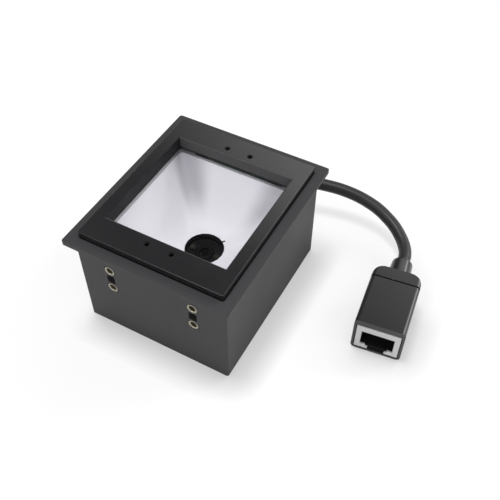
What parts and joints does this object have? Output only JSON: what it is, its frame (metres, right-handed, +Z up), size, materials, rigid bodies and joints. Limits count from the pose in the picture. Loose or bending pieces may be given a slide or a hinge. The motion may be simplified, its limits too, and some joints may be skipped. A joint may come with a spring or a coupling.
{
  "type": "fixed barcode reader",
  "caption": "Black fixed barcode reader for a panel cut-out, with a square window over a white light well and a short lead to a network coupler.",
  "frame": {"origin": "middle of the reader's underside, on the surface that it stands on, without the lead and the coupler", "axes": "+Z up, towards the window; +Y towards the back wall, where the lead leaves; +X towards the side on which the coupler lies"},
  "size_m": [0.1197, 0.1041, 0.048],
  "materials": {
    "housing_plastic": "fine matt mould texture",
    "frame_plastic": "polished black",
    "black_rubber": "matt",
    "clear_glass": "clear",
    "white_plastic": "matt white diffuser",
    "screw_steel": "zinc plated",
    "insert_brass": "turned",
    "circuit_board": "green solder mask",
    "chip_plastic": "matt black",
    "connector_plastic": "satin",
    "lamp_plastic": "clear cast",
    "ribbon_plastic": "amber film",
    "lead_jacket": "satin jacket",
    "coupler_plastic": "satin",
    "jack_grey": "light grey satin",
    "contact_gold": "gold plated"
  },
  "bodies": {
    "root": {"main_housing": "housing_plastic", "window_frame": "frame_plastic", "window_gasket": "black_rubber", "window_glass": "clear_glass", "light_well": "white_plastic", "clamp_screw_1": "screw_steel", "clamp_screw_2": "screw_steel", "clamp_screw_3": "screw_steel", "clamp_screw_4": "screw_steel", "front_insert_1": "insert_brass", "front_insert_2": "insert_brass", "front_insert_3": "insert_brass", "front_insert_4": "insert_brass", "bottom_cover": "housing_plastic", "cover_screw_1": "screw_steel", "cover_screw_2": "screw_steel", "cover_screw_3": "screw_steel", "cover_screw_4": "screw_steel", "decoder_board": "circuit_board", "processor": "chip_plastic", "memory_chip": "chip_plastic", "decoder_screw_1": "screw_steel", "decoder_screw_2": "screw_steel", "decoder_screw_3": "screw_steel", "decoder_screw_4": "screw_steel", "camera_socket": "connector_plastic", "camera_bracket": "chip_plastic", "camera_board": "circuit_board", "image_sensor": "chip_plastic", "lens_holder": "chip_plastic", "lens_barrel": "chip_plastic", "front_lens": "clear_glass", "lens_hood": "chip_plastic", "lamp_board": "chip_plastic", "well_lamp_1": "lamp_plastic", "well_lamp_2": "lamp_plastic", "indicator_board": "circuit_board", "indicator_lamp_1": "lamp_plastic", "indicator_lamp_2": "lamp_plastic", "light_guide": "clear_glass", "indicator_ribbon": "ribbon_plastic", "indicator_header": "connector_plastic", "sounder_board": "circuit_board", "sounder": "chip_plastic", "sounder_ribbon": "ribbon_plastic", "sounder_header": "connector_plastic", "cable_gland": "black_rubber", "cable_boot": "black_rubber", "cable": "lead_jacket", "lead_header": "connector_plastic", "lead_plug": "connector_plastic", "inner_lead": "lead_jacket", "coupler_housing": "coupler_plastic", "coupler_end_cap": "coupler_plastic", "coupler_collar": "coupler_plastic", "jack_shield": "jack_grey", "jack_insulator": "chip_plastic", "jack_contacts": "contact_gold", "jack_terminals": "connector_plastic"}
  },
  "joints": []
}
